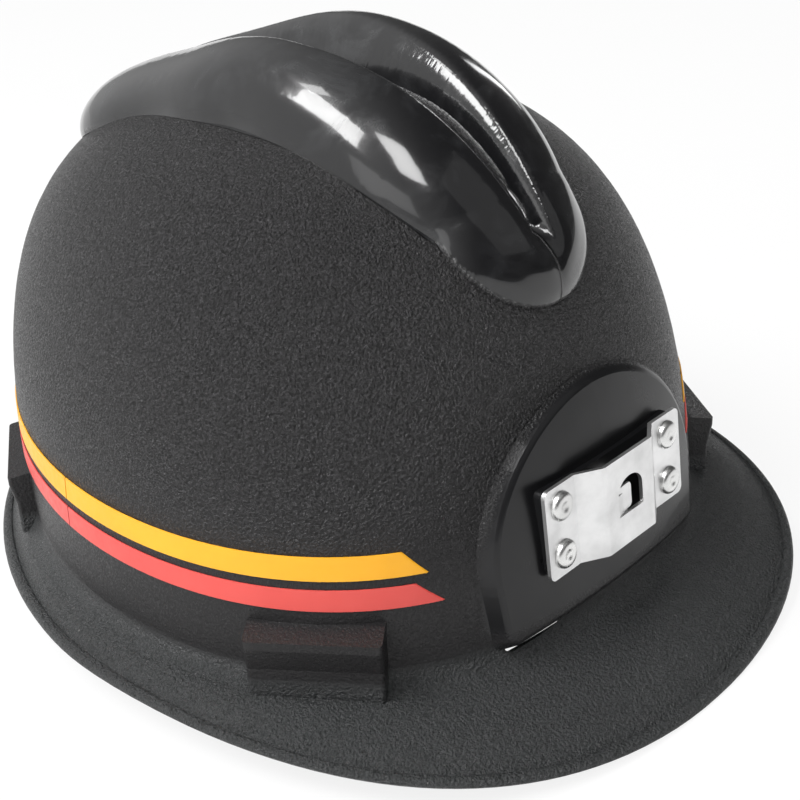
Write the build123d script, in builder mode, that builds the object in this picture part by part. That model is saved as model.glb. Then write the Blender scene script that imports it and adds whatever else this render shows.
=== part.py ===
from build123d import *
from math import atan, cos, hypot, pi, radians, sin, sqrt, tan
import os

# A miner's safety helmet: a moulded shell with a full brim and a split crown ridge, a pressed
# metal lamp bracket on its brow, and a plug-in suspension with a ratchet headband inside.
# Millimetres. Front is -Y, the wearer's left is +X, and the rim's lowest points lie at z = 0.

# Shell
wall = 2.6
brim_side = 116.0
brim_front = 132.1
brim_back = 152.9
axis_y = (brim_front - brim_back) / 2
dome_side = 101.4
dome_front = 96.2
dome_back = 126.0
dome_base = 24.4
dome_rise = 127.2
dome_lean_share = 0.10
dome_front_shares = (0.52, 0.73)
dome_back_shares = (0.49, 0.56)
dome_profile_shares = (0.65, 0.76)
brim_front_shares = (0.66, 0.69)
brim_back_shares = (0.36, 0.51)
root_front_z = 18.1
root_side_z = 20.3
root_back_z = 23.0
rim_arch = 12.6
rim_land = 0.4
brim_thickness = 2.6
brim_cove = 5.0
brim_crown_share = 0.10
brim_sections = 8
bead_width = 3.4
bead_rise = 0.7
bead_round = 0.9
arch_front_power = 4
arch_back_power = 2
overrun = 10.0
reach = 400.0

# Crown ridge: two lobes with a valley between them
crest_half = 36.0
crest_height = 16.5
crest_nose = 72.0
crest_tail = 34.0
crest_tip_z = 108.6
crest_tail_share = 0.50
crest_embed = 3.0
crest_sink = 1.4
valley_height = 2.2
valley_half = 2.6
valley_spread = 4.0
ridge_offset = 4.5
ridge_spread = 5.4
crest_bulge = 9.0
crest_depth_share = 0.11
nose_angles = (7, 20, 36, 54, 72, 90)
nose_height_shares = (0.54, 0.54, 0.55, 0.60, 0.76, 0.92)
nose_spread_shares = (0.0, 0.0, 0.0, 0.1, 0.35, 0.7)
middle_shares = (0.3, 0.6)
middle_height_shares = (0.98, 0.70)
middle_spread_shares = (1.0, 0.8)
tail_angles = (90, 66, 44, 26, 12)
tail_height_shares = (0.50, 0.49, 0.48, 0.48, 0.48)
tail_spread_shares = (0.3, 0.1, 0.0, 0.0, 0.0)

# Brow panel
panel_half = 49.5
panel_arch_z = 42.0
panel_top = 88.0
panel_proud = 2.2
panel_front_shares = (0.54, 0.82)
panel_side_y = -92.0
panel_reach = 22.0
panel_taper = 28
panel_edge = 2.4

# Sockets that take the suspension keys
socket_width = 37.0
socket_proud = 6.0
socket_body_proud = 4.6
socket_top_z = 38.5
socket_lip = 4.0
socket_flare = 7.0
socket_round_share = 0.7
socket_foot_z = 17.2
socket_draft = 1.4
socket_round = 1.2
socket_embed = 6.0
socket_front_share = 0.44
socket_back_share = 0.47
turn_step_share = 0.01
key_width = 27.2
key_thickness = 3.0
key_gap = 0.3
key_top_z = 30.6
key_foot_z = 15.0
key_set_back = 0.6
neck_width = 19.4
key_plate_width = 24.0
key_plate_thickness = 2.2
key_plate_inset = 5.7
key_plate_top_z = 38.0
key_plate_foot_z = 8.0
peg_radius = 2.4
peg_hole_radius = 4.0
peg_end = 1.2
peg_z = 18.0
key_arm_width = 12.0
key_arm_height = 7.0

# Lamp bracket on the brow
bracket_width = 61.8
bracket_height = 27.1
bracket_sheet = 1.2
bracket_z = 53.2
bracket_tilt = 6.1
bracket_flat = 21.0
bracket_flange = 13.2
bracket_stand = 4.8
bracket_corner = 2.0
bracket_fold = 1.0
bracket_pad = 1.0
bracket_pad_depth = 6.0
window_width = 11.0
window_side = 6.5
window_rise = 4.5
window_drop = 1.0
tongue_width = 5.5
tongue_embed = 0.6
tongue_lean = 12
rivet_inset = 6.4
rivet_pitch = 14.6
rivet_radius = 4.2
rivet_rise = 1.7
rivet_dish = 0.5
rivet_shank = 1.6
rivet_tail = 3.0
rivet_grip = 7.0
clip_rivet_grip = 4.2
rivet_tail_rise = 1.0
rivet_fit = 0.05

# Coloured tapes round the sides and back
tape_gap = 0.05
tape_thickness = 0.3
tape_seam_y = 14.0
tape_seam_gap = 0.4
yellow_top_z = 58.8
yellow_height = 6.8
yellow_front_y = -84.5
red_top_z = 49.4
red_height = 6.2
red_front_y = -87.5
tape_slant = 4.6
tape_arch = 2.4

# Lamp cable holder on the nape side of the shell
clip_width = 14.0
clip_sheet = 1.2
clip_top_z = 62.0
clip_foot_z = 38.0
clip_reach = 9.0
clip_lip = 9.0
clip_bend = 2.4
clip_rivet_drop = 6.0

# Headband and its pads
band_gap = 15.8
band_front_gap = 5.5
band_thickness = 1.8
band_foot_z = 16.0
band_height = 28.0
band_end_y = 20.0
band_front_shares = (0.51, 0.73)
chin_slot_width = 3.0
chin_slot_height = 16.0
chin_slot_y = 2.0
brow_pad_thickness = 3.2
brow_pad_overlap = 2.5
brow_pad_end_y = -26.0
pad_gap = 0.3
arm_shares = (0.20, 0.12)

# Crown straps
strap_width = 20.0
strap_thickness = 1.4
strap_top_z = 114.0
strap_gap = 0.4
strap_cross_gap = 1.6
strap_foot_z = 22.3
strap_rise_z = 30.0
strap_twist = 1.8
strap_shares = (0.62, 0.58)

# Ratchet at the nape
nape_y = 88.0
nape_z = 30.0
gear_module = 1.5
gear_teeth = 9
gear_angle = 25
gear_backlash = 0.2
gear_addendum = 1.1
gear_dedendum = 1.4
gear_thickness = 3.0
gear_flank_steps = 5
rack_thickness = 2.4
rack_back = 4.0
rack_teeth = 8
rack_steps = 2.5
rack_spare = 0.6
housing_wall = 1.6
housing_half = 30.0
housing_gap = 0.3
housing_eye = 18.6
hub_radius = 4.0
hub_fit = 0.05
stub_radius = 2.4
stub_length = 1.2
knob_radius = 16.0
knob_depth = 7.6
knob_gap = 0.4
knob_grips = 14
knob_grip_radius = 1.7
knob_round = 1.0
knob_recess = 3.0
knob_recess_radius = 13.0
click_teeth = 24
click_depth = 0.8
pawl_thickness = 1.3
pawl_depth = 2.2
pawl_clearance = 0.25
pawl_radius = 10.2
pawl_bump = 0.9
pawl_opening = 7.0
nape_pad_thickness = 3.0
nape_pad_width = 56.0
nape_pad_height = 24.0
nape_pad_corner = 6.0


def bezier(points, t):
    """Point of a cubic Bezier curve with these four control points"""
    k = ((1 - t) ** 3, 3 * (1 - t) ** 2 * t, 3 * (1 - t) * t**2, t**3)
    return Vector(*(sum(w * p[i] for w, p in zip(k, points)) for i in range(3)))


def quarter(side, length, shares, z=0):
    """Control points of a quarter oval, from its side end to its front or back end"""
    side_share, end_share = shares
    return [(side, 0, z), (side, side_share * length, z), (end_share * side, length, z), (0, length, z)]


def oval_dome(grow, drop, front_shares=dome_front_shares):
    """Solid dome, grown by a margin, on a straight skirt. Its sections are ovals that lean back"""
    side, rise = dome_side + grow, dome_rise + grow
    root_share, apex_share = dome_profile_shares
    profile = [(1, 0), (1, root_share), (apex_share, 1), (0, 1)]
    faces, rim = [], []
    for length, shares in ((-dome_front - grow, front_shares), (dome_back + grow, dome_back_shares)):
        for mirrored in (1, -1):
            flat = quarter(mirrored * side, length, shares)
            grid = [
                [Vector(s * x, s * y + dome_lean_share * dome_rise * h, rise * h) for x, y, z in flat]
                for s, h in profile
            ]
            faces.append(Face.make_bezier_surface(grid))
            rim.append(Edge.make_bezier(*flat))
    floor = Face(Wire(rim))
    dome = Solid(Shell(faces + [floor]))
    skirt = extrude(floor, drop, dir=(0, 0, -1))
    return Pos(0, axis_y, dome_base) * (dome + skirt)


def oval_point(side, front, back, front_shares, back_shares, turn):
    """Point of an oval; turn runs from -1 at the front through 0 at the side to 1 at the back"""
    length, shares = (-front, front_shares) if turn < 0 else (back, back_shares)
    return bezier(quarter(side, length, shares), abs(turn)) + Vector(0, axis_y, 0)


def dome_point(turn, grow=0):
    """Point of the dome's outline at its skirt"""
    size = (dome_side + grow, dome_front + grow, dome_back + grow)
    return oval_point(*size, dome_front_shares, dome_back_shares, turn)


def root_height(y):
    """Height at which the brim leaves the dome"""
    share = (y - axis_y) / (dome_front if y < axis_y else dome_back)
    return root_side_z + share**2 * ((root_front_z if y < axis_y else root_back_z) - root_side_z)


def rim_height(point):
    """Height of the rim's underside, which arches up over the wearer's ears"""
    x, y = point.X, point.Y - axis_y
    power = arch_front_power if y < 0 else arch_back_power
    return rim_arch * (1 - abs(y / hypot(x, y)) ** power) - rim_land


# Brim: radial sections, lofted round one side and mirrored
brim_turns = [i / brim_sections - 1 for i in range(-1, 2 * brim_sections + 2)]


def brim_frame(turn):
    """Root point, outer point and section plane of the brim at one turn"""
    mirrored = abs(turn) > 1
    inside = max(-1, min(1, (2 - abs(turn)) * (1 if turn > 0 else -1))) if mirrored else turn
    root = dome_point(inside)
    size = (brim_side, brim_front, brim_back)
    outer = oval_point(*size, brim_front_shares, brim_back_shares, inside)
    if mirrored:
        root, outer = Vector(-root.X, root.Y, 0), Vector(-outer.X, outer.Y, 0)
    away = (outer - root).normalized()
    return root, outer, Plane(origin=root, x_dir=away, z_dir=away.cross(Vector(0, 0, 1)))


with BuildPart() as brim_half:
    for turn in brim_turns:
        root, outer, plane = brim_frame(turn)
        width = (outer - root).length
        top = root_height(root.Y)
        edge = rim_height(outer)
        rim_top = edge + brim_thickness
        fall = (top - rim_top) / width
        crown = brim_crown_share * (width - brim_cove)
        with BuildSketch(plane):
            with BuildLine():
                cove_end = (brim_cove, top - fall * brim_cove)
                bead_foot = (width - bead_width, rim_top)
                Line((-wall / 2, top + brim_cove), (0, top + brim_cove))
                Bezier((0, top + brim_cove), (0, top), cove_end)
                middle = ((cove_end[0] + bead_foot[0]) / 2, (cove_end[1] + bead_foot[1]) / 2 + crown)
                Bezier(cove_end, middle, bead_foot)
                Bezier(
                    bead_foot,
                    (width - bead_width, rim_top + bead_rise),
                    (width, rim_top + bead_rise),
                    (width, edge + bead_round),
                )
                Line((width, edge + bead_round), (width - bead_round, edge))
                Line((width - bead_round, edge), (width - bead_width, edge))
                under = (middle[0], middle[1] - brim_thickness)
                Bezier((width - bead_width, edge), under, (-wall / 2, top - brim_thickness))
                Line((-wall / 2, top - brim_thickness), (-wall / 2, top + brim_cove))
            make_face()
    loft()
    split(bisect_by=Plane.YZ)
    mirror(about=Plane.YZ)


# Dome wall, trimmed below to the line where the brim leaves it
front_y = axis_y - dome_front
back_y = axis_y + dome_back
with BuildPart() as dome_wall:
    add(oval_dome(0, dome_base))
    with BuildSketch(Plane.YZ):
        with BuildLine():
            low = root_side_z - brim_thickness
            Bezier(
                (front_y, root_front_z - brim_thickness),
                ((front_y + axis_y) / 2, low),
                (axis_y, low),
            )
            Bezier((axis_y, low), ((back_y + axis_y) / 2, low), (back_y, root_back_z - brim_thickness))
            Line((back_y, root_back_z - brim_thickness), (back_y + reach, root_back_z - brim_thickness))
            Line((back_y + reach, root_back_z - brim_thickness), (back_y + reach, -reach))
            Line((back_y + reach, -reach), (front_y - reach, -reach))
            Line((front_y - reach, -reach), (front_y - reach, root_front_z - brim_thickness))
            Line((front_y - reach, root_front_z - brim_thickness), (front_y, root_front_z - brim_thickness))
        make_face()
    extrude(amount=reach, both=True, mode=Mode.SUBTRACT)

# Crown ridge: sections square to the dome's centre line, lofted from the brow to the nape side
def meridian(length):
    """The dome's centre line from its skirt to the apex, towards the front or the back"""
    root_share, apex_share = dome_profile_shares
    shares = ((1, 0), (1, root_share), (apex_share, 1), (0, 1))
    return Edge.make_bezier(
        *[
            (0, axis_y + length * s + dome_lean_share * dome_rise * h, dome_base + dome_rise * h)
            for s, h in shares
        ]
    )


front_line = meridian(-dome_front)
back_line = meridian(dome_back)


def front_at(height):
    """Point of the dome's front centre line at a height"""
    return front_line.intersect(Edge.make_line((0, -reach, height), (0, reach, height)))[0]


crest_tip = front_line.param_at_point(front_at(crest_tip_z))


def crest_stations():
    """Plane, width share, height share and lobe spread of each section"""
    length = front_line.length * (1 - crest_tip)
    end = length + back_line.length * (1 - crest_tail_share)
    middle = end - crest_tail - crest_nose
    places = []
    for angle, height, spread in zip(nose_angles, nose_height_shares, nose_spread_shares):
        places.append((crest_nose * (1 - cos(radians(angle))), sin(radians(angle)), height, spread))
    for share, height, spread in zip(middle_shares, middle_height_shares, middle_spread_shares):
        places.append((crest_nose + share * middle, 1, height, spread))
    for angle, height, spread in zip(tail_angles, tail_height_shares, tail_spread_shares):
        places.append((end - crest_tail * (1 - cos(radians(angle))), sin(radians(angle)), height, spread))
    for along, *shares in places:
        if along < length:
            line, share = front_line, crest_tip + along / front_line.length
            slope = line % share
        else:
            line, share = back_line, 1 - (along - length) / back_line.length
            slope = (line % share) * -1
        yield Plane(origin=line @ share, x_dir=(1, 0, 0), z_dir=slope * -1), *shares


def crest_part(inset, embed):
    """Ridge with both lobes; inset makes the hollow inside it"""
    with BuildPart() as ridge:
        for plane, share, height_share, spread in crest_stations():
            half = max(crest_half * share - inset, crest_sink / 2)
            height = (crest_height * height_share + crest_sink) * sqrt(share) - crest_sink - inset
            floor_half = (valley_half + valley_spread * spread) * share
            floor = min(valley_height, height) - inset * share
            crown = floor_half + (ridge_offset + ridge_spread * spread) * share + inset
            crown = min(crown, (floor_half + half) / 2)
            foot = -crest_depth_share * half * share - embed
            with BuildSketch(plane):
                with BuildLine():
                    Line((0, floor), (floor_half, floor))
                    Bezier((floor_half, floor), (floor_half + (crown - floor_half) / 2, height), (crown, height))
                    shoulder = (crown + half) / 2 + crest_bulge * share
                    Bezier((crown, height), (shoulder, height), (half, foot + embed), (half, foot))
                    Line((half, foot), (0, foot))
                    mirror(about=Plane.YZ)
                make_face()
        loft()
    return ridge.part


# Brow panel: a raised arch with a flat seat for the lamp bracket
panel_foot_z = root_front_z - brim_thickness / 2


def arch_part(inset, edge=0):
    """Arched front part of a flatter dome, which stands proud of the shell's brow"""
    half = panel_half - inset
    low = panel_foot_z - inset
    flatter = oval_dome(panel_proud - inset, dome_base + overrun, panel_front_shares)
    with BuildPart() as arch:
        with BuildSketch(Plane.XZ.offset(-panel_side_y)):
            with BuildLine():
                Line((-half, low), (-half, panel_arch_z))
                EllipticalCenterArc(
                    (0, panel_arch_z), half, panel_top - inset - panel_arch_z, start_angle=0, arc_size=180
                )
                Line((half, panel_arch_z), (half, low))
                Line((half, low), (-half, low))
            make_face()
        extrude(amount=panel_reach, taper=panel_taper)
        extrude(arch.faces().sort_by(Axis.Y)[-1], amount=panel_reach)
        add(flatter, mode=Mode.INTERSECT)
        if edge:
            front = [e for e in arch.edges() if e.center().Y < panel_side_y - edge]
            fillet([e for e in front if e.center().Z > panel_foot_z + edge], edge)
    return arch.part


panel_outside = arch_part(0, panel_edge)
panel_hollow = arch_part(wall)

seat_point = front_at(bracket_z) - Vector(0, panel_proud + pad_gap, 0)
seat = Plane(
    origin=seat_point,
    x_dir=(1, 0, 0),
    z_dir=(0, -cos(radians(bracket_tilt)), sin(radians(bracket_tilt))),
)
rivet_across = bracket_width - 2 * rivet_inset
clip_rivet_z = clip_top_z - clip_rivet_drop
with BuildPart() as rivet_holes:
    with BuildSketch(seat):
        with GridLocations(rivet_across, rivet_pitch, 2, 2):
            Circle(rivet_shank + rivet_fit)
    extrude(amount=overrun, both=True)
    with BuildSketch(Plane.XZ.offset(-axis_y - dome_back / 2)):
        with Locations((0, clip_rivet_z)):
            Circle(rivet_shank + rivet_fit)
    extrude(amount=-dome_back)
with BuildPart() as bracket_seat:
    with BuildSketch(seat):
        RectangleRounded(bracket_width - 2 * bracket_pad, bracket_height - 2 * bracket_pad, bracket_corner)
    extrude(amount=-bracket_pad_depth)


# Sockets: hollow blocks on the skirt, open below, that take the suspension keys
def socket_plane(turn, mirrored):
    """Upright plane at a socket: x runs along the wall, y points outwards"""
    point = dome_point(turn)
    ahead = (dome_point(turn + turn_step_share) - dome_point(turn - turn_step_share)).normalized()
    away = ahead.cross(Vector(0, 0, 1))
    if mirrored:
        point = Vector(-point.X, point.Y, 0)
        away = Vector(-away.X, away.Y, 0)
    return Plane(origin=point, x_dir=away.cross(Vector(0, 0, 1)), z_dir=(0, 0, 1))


socket_places = {
    "front_left": socket_plane(-socket_front_share, False),
    "front_right": socket_plane(-socket_front_share, True),
    "rear_left": socket_plane(socket_back_share, False),
    "rear_right": socket_plane(socket_back_share, True),
}


def upright(plane):
    """Section plane across a socket: x points outwards and y up"""
    return Plane(origin=plane.origin, x_dir=plane.y_dir, z_dir=plane.x_dir)


pocket_out = key_thickness - key_set_back + key_gap
pocket_in = -key_set_back - key_gap
with BuildPart() as socket_block:
    with BuildSketch(upright(Plane.XY)):
        Polygon(
            (-socket_embed, socket_foot_z),
            (socket_body_proud, socket_foot_z),
            (socket_body_proud, socket_top_z - socket_flare - socket_lip),
            (socket_proud, socket_top_z - socket_lip),
            (socket_proud, socket_top_z - socket_draft),
            (-socket_draft, socket_top_z),
            (-socket_embed, socket_top_z),
            align=None,
        )
    extrude(amount=socket_width / 2, both=True)
    outer = socket_block.faces().filter_by(lambda f: f.normal_at().Y > socket_round_share)
    fillet(outer.edges().filter_by(lambda e: abs(e.center().X) > socket_width / 2 - socket_round), socket_round)
sockets = [plane.location * socket_block.part for plane in socket_places.values()]

with BuildPart() as pockets:
    for plane in socket_places.values():
        with BuildSketch(plane.offset(-overrun)):
            with Locations((0, (pocket_out + pocket_in) / 2)):
                Rectangle(key_width + 2 * key_gap, pocket_out - pocket_in)
            with Locations((0, pocket_in - socket_embed / 2)):
                Rectangle(neck_width + 2 * key_gap, socket_embed + 2 * key_gap)
        extrude(amount=key_top_z + key_gap + overrun)

dome_hollow = oval_dome(-wall, dome_base + overrun)
crest_outside = crest_part(0, crest_embed)
crest_hollow = crest_part(wall, 3 * wall)
with BuildPart() as shell:
    add(dome_wall.part)
    add(crest_outside)
    add(panel_outside)
    add(bracket_seat.part)
    add(sockets)
    add(brim_half.part)
    add(dome_hollow, mode=Mode.SUBTRACT)
    add(crest_hollow, mode=Mode.SUBTRACT)
    add(panel_hollow, mode=Mode.SUBTRACT)
    add(pockets.part, mode=Mode.SUBTRACT)
    add(rivet_holes.part, mode=Mode.SUBTRACT)
    # Lands that the helmet rests on, under the front and back of the rim
    with BuildSketch(Plane.XY):
        Rectangle(reach, reach)
    extrude(amount=-overrun, mode=Mode.SUBTRACT)
shell.part.label = "shell"


# Lamp bracket: a pressed strip that stands clear of the brow so that a lamp's hook slides behind
bracket_section = Plane(origin=seat.origin, x_dir=seat.x_dir, z_dir=seat.y_dir * -1)
tongue_plane = Plane(
    origin=seat.from_local_coords(Vector(-window_width / 2 - tongue_embed, -window_drop, bracket_stand)),
    x_dir=seat.x_dir * cos(radians(tongue_lean)) - seat.z_dir * sin(radians(tongue_lean)),
    z_dir=seat.z_dir * cos(radians(tongue_lean)) + seat.x_dir * sin(radians(tongue_lean)),
)
with BuildPart() as lamp_bracket:
    with BuildSketch(bracket_section):
        with BuildLine():
            FilletPolyline(
                (-bracket_width / 2, 0),
                (-bracket_width / 2 + bracket_flange, 0),
                (-bracket_flat / 2, bracket_stand),
                (bracket_flat / 2, bracket_stand),
                (bracket_width / 2 - bracket_flange, 0),
                (bracket_width / 2, 0),
                radius=bracket_fold,
            )
            offset(amount=bracket_sheet, side=Side.LEFT, closed=True)
        make_face()
    extrude(amount=bracket_height / 2, both=True)
    corners = lamp_bracket.edges().filter_by(
        lambda e: e.length < bracket_sheet + pad_gap / 3 and abs(e.center().X) > bracket_width / 2 - pad_gap
    )
    fillet(corners, bracket_corner)
    with BuildSketch(seat.offset(bracket_stand - bracket_sheet)):
        with Locations((0, -window_drop)):
            Rectangle(window_width, window_side)
        with Locations((0, window_side / 2 - window_drop)):
            Ellipse(window_width / 2, window_rise)
    extrude(amount=3 * bracket_sheet, mode=Mode.SUBTRACT)
    with BuildSketch(tongue_plane):
        with Locations((tongue_width / 2, 0)):
            Rectangle(tongue_width, window_side)
    extrude(amount=bracket_sheet)
    with BuildSketch(seat):
        with GridLocations(rivet_across, rivet_pitch, 2, 2):
            Circle(rivet_shank + rivet_fit)
    extrude(amount=bracket_stand, mode=Mode.SUBTRACT)
lamp_bracket.part.label = "lamp_bracket"



def rivet(grip):
    """Rivet on the axis z: a dished pan head above a sheet and a flat tail at the grip's depth"""
    with BuildPart() as pin:
        with BuildSketch(Plane.XZ):
            with BuildLine():
                seat_z = bracket_sheet + rivet_fit
                brow_z = seat_z + rivet_rise
                Polyline(
                    (0, -grip - rivet_tail_rise),
                    (rivet_tail, -grip - rivet_tail_rise),
                    (rivet_tail, -grip),
                    (rivet_shank, -grip),
                    (rivet_shank, seat_z),
                    (rivet_radius, seat_z),
                )
                Bezier((rivet_radius, seat_z), (rivet_radius, brow_z), (rivet_radius / 2, brow_z))
                Bezier(
                    (rivet_radius / 2, brow_z),
                    (rivet_radius / 3, brow_z),
                    (rivet_radius / 4, brow_z - rivet_dish),
                    (0, brow_z - rivet_dish),
                )
                Line((0, brow_z - rivet_dish), (0, -grip - rivet_tail_rise))
            make_face()
        revolve(axis=Axis.Z)
    return pin.part


bracket_rivets = Compound(
    children=[
        seat.location * Pos(x * rivet_across / 2, y * rivet_pitch / 2, 0) * rivet(rivet_grip)
        for x in (-1, 1)
        for y in (-1, 1)
    ]
)
bracket_rivets.label = "bracket_rivets"


# Tapes: thin strips of the dome's own surface, cut to bands seen from the side
def tape_band(top_z, height, front_y):
    """Side outline of one band, slightly arched, with its slanted front end"""
    end_y = back_y + overrun
    low = top_z - tape_arch / 2
    middle_y = (front_y + end_y) / 2
    Line((front_y - tape_slant, low - height), (front_y, low))
    Bezier((front_y, low), (middle_y, low + tape_arch), (end_y, low))
    Line((end_y, low), (end_y, low - height))
    Bezier((end_y, low - height), (middle_y, low - height + tape_arch), (front_y - tape_slant, low - height))


tape_outside = oval_dome(tape_gap + tape_thickness, dome_base)
tape_inside = oval_dome(tape_gap, dome_base + overrun)


def tape(name, top_z, height, front_y):
    """Right, back and left lengths of one tape, parted at its seams"""
    with BuildPart() as strip:
        with BuildSketch(Plane.YZ):
            with BuildLine():
                tape_band(top_z, height, front_y)
            make_face()
        extrude(amount=reach, both=True)
        add(tape_outside, mode=Mode.INTERSECT)
        add(tape_inside, mode=Mode.SUBTRACT)
        with Locations((0, tape_seam_y, 0)):
            Box(reach, tape_seam_gap, reach, mode=Mode.SUBTRACT)
        add(rivet_holes.part, mode=Mode.SUBTRACT)
    strip.part.label = name
    return strip.part


stripe_yellow = tape("stripe_yellow", yellow_top_z, yellow_height, yellow_front_y)
stripe_red = tape("stripe_red", red_top_z, red_height, red_front_y)


# Lamp cable holder: a strip riveted to the back, bent out and up into a hook
def back_at(height):
    """Point of the dome's back centre line at a height"""
    return back_line.intersect(Edge.make_line((0, -reach, height), (0, reach, height)))[0]


clip_low = back_at(clip_foot_z)
clip_high = back_at(clip_top_z)
clip_stand = tape_gap + tape_thickness + pad_gap
clip_y = max(clip_low.Y, clip_high.Y, back_at((clip_foot_z + clip_top_z) / 2).Y) + clip_stand
clip_long = clip_top_z - clip_foot_z
clip_plane = Plane(origin=(0, clip_y, clip_foot_z), x_dir=(0, 1, 0), z_dir=(1, 0, 0))
with BuildPart() as cable_clip:
    with BuildSketch(clip_plane):
        with BuildLine():
            FilletPolyline(
                (0, clip_long),
                (0, 0),
                (clip_reach, 0),
                (clip_reach, clip_lip),
                radius=clip_bend,
            )
            offset(amount=clip_sheet, side=Side.LEFT, closed=True)
        make_face()
    extrude(amount=clip_width / 2, both=True)
    with BuildSketch(Plane.XZ.offset(-clip_y - overrun)):
        with Locations((0, clip_rivet_z)):
            Circle(rivet_shank + rivet_fit)
    extrude(amount=2 * overrun, mode=Mode.SUBTRACT)
cable_clip.part.label = "cable_clip"
clip_rivet = Compound(
    children=[Pos(0, clip_y, clip_rivet_z) * Rot(-90, 0, 0) * rivet(clip_rivet_grip)]
)
clip_rivet.label = "clip_rivet"


# Headband: a U of thin strip, straight along the sides and open towards the nape
band_side = dome_side - wall - band_gap
band_front = dome_front - wall - band_front_gap


def band_outline(inset):
    """Closed outline of the head space inside a margin from the headband's outer face"""
    for mirrored in (1, -1):
        side = mirrored * (band_side - inset)
        points = quarter(side, -(band_front - inset), band_front_shares)
        Bezier(*[(x, y + axis_y) for x, y, z in points])
        Line((side, axis_y), (side, band_end_y))
    Line((band_side - inset, band_end_y), (inset - band_side, band_end_y))


def band_block(inset, low, high):
    """Solid of the head space inside a margin, between two heights"""
    with BuildPart() as block:
        with BuildSketch(Plane.XY.offset(low)):
            with BuildLine():
                band_outline(inset)
            make_face()
        extrude(amount=high - low)
    return block.part


band_top_z = band_foot_z + band_height
band_outside = band_block(0, band_foot_z, band_top_z)
band_inside = band_block(band_thickness, band_foot_z - overrun, band_top_z + overrun)
with BuildPart() as headband:
    add(band_outside)
    add(band_inside, mode=Mode.SUBTRACT)
    for name, plane in socket_places.items():
        if name.startswith("front"):
            with BuildSketch(Plane(origin=plane.origin + Vector(0, 0, peg_z), x_dir=plane.x_dir, z_dir=plane.y_dir)):
                Circle(peg_radius + hub_fit)
            extrude(amount=-dome_side / 2, mode=Mode.SUBTRACT)
    with BuildSketch(Plane.YZ):
        with Locations((chin_slot_y, band_foot_z + band_height / 2)):
            SlotOverall(chin_slot_height, chin_slot_width, rotation=90)
    extrude(amount=reach, both=True, mode=Mode.SUBTRACT)
headband.part.label = "headband"

# Brow pad: soft lining of the headband's front
pad_outside = band_block(band_thickness + pad_gap, band_foot_z - brow_pad_overlap, band_top_z + brow_pad_overlap)
pad_inside = band_block(band_thickness + pad_gap + brow_pad_thickness, band_foot_z - overrun, band_top_z + overrun)
with BuildPart() as brow_pad:
    add(pad_outside)
    add(pad_inside, mode=Mode.SUBTRACT)
    with BuildSketch(Plane.YZ):
        with Locations((brow_pad_end_y + reach / 2, 0)):
            Rectangle(reach, reach)
    extrude(amount=reach, both=True, mode=Mode.SUBTRACT)
    for name, plane in socket_places.items():
        if name.startswith("front"):
            with BuildSketch(Plane(origin=plane.origin + Vector(0, 0, peg_z), x_dir=plane.x_dir, z_dir=plane.y_dir)):
                Circle(peg_hole_radius)
            extrude(amount=-dome_side / 2, mode=Mode.SUBTRACT)
brow_pad.part.label = "brow_pad"


# Keys: flat plates that push up into the sockets and carry the straps on the inside
def key(name, plane):
    """Plate in the socket, neck through the wall, strap plate inside, and a front key's peg"""
    plate_out = -key_set_back - key_plate_inset + key_thickness / 2
    with BuildPart() as body:
        with BuildSketch(plane.offset(key_foot_z)):
            with Locations((0, key_thickness / 2 - key_set_back)):
                Rectangle(key_width, key_thickness)
        extrude(amount=key_top_z - key_foot_z)
        with BuildSketch(plane.offset(key_foot_z)):
            with Locations((0, (plate_out - key_set_back) / 2)):
                Rectangle(neck_width, -key_set_back - plate_out)
        extrude(amount=key_top_z - key_foot_z)
        with BuildSketch(plane.offset(key_plate_foot_z)):
            with Locations((0, plate_out - key_plate_thickness / 2)):
                Rectangle(key_plate_width, key_plate_thickness)
        extrude(amount=key_plate_top_z - key_plate_foot_z)
        fillet(body.edges().filter_by(Axis.Z).group_by(SortBy.LENGTH)[-1], key_thickness / 4)
        if name.startswith("front"):
            across = Plane(origin=plane.origin + Vector(0, 0, peg_z), x_dir=plane.x_dir, z_dir=plane.y_dir)
            with BuildSketch(across.offset(plate_out)):
                Rectangle(key_arm_width, key_arm_height)
            extrude(amount=-dome_side / 3)
            add(arm_limit, mode=Mode.SUBTRACT)
            with BuildSketch(across.offset(plate_out)):
                Circle(peg_radius)
            extrude(amount=-dome_side / 3)
            add(peg_limit, mode=Mode.SUBTRACT)
    body.part.label = "key_" + name
    return body.part


tall = (band_foot_z - overrun, band_top_z + overrun)
arm_limit = band_block(-pad_gap, *tall)
peg_limit = band_block(band_thickness + peg_end, *tall)
keys = [key(name, plane) for name, plane in socket_places.items()]


# Crown straps: two flat webs that cross over the head from socket to socket
def strap_end(plane):
    """Point on the inner side of a key's strap plate"""
    inside = key_set_back + key_plate_inset - key_thickness / 2 + key_plate_thickness + strap_gap + strap_twist
    return plane.origin - plane.y_dir * inside


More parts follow.
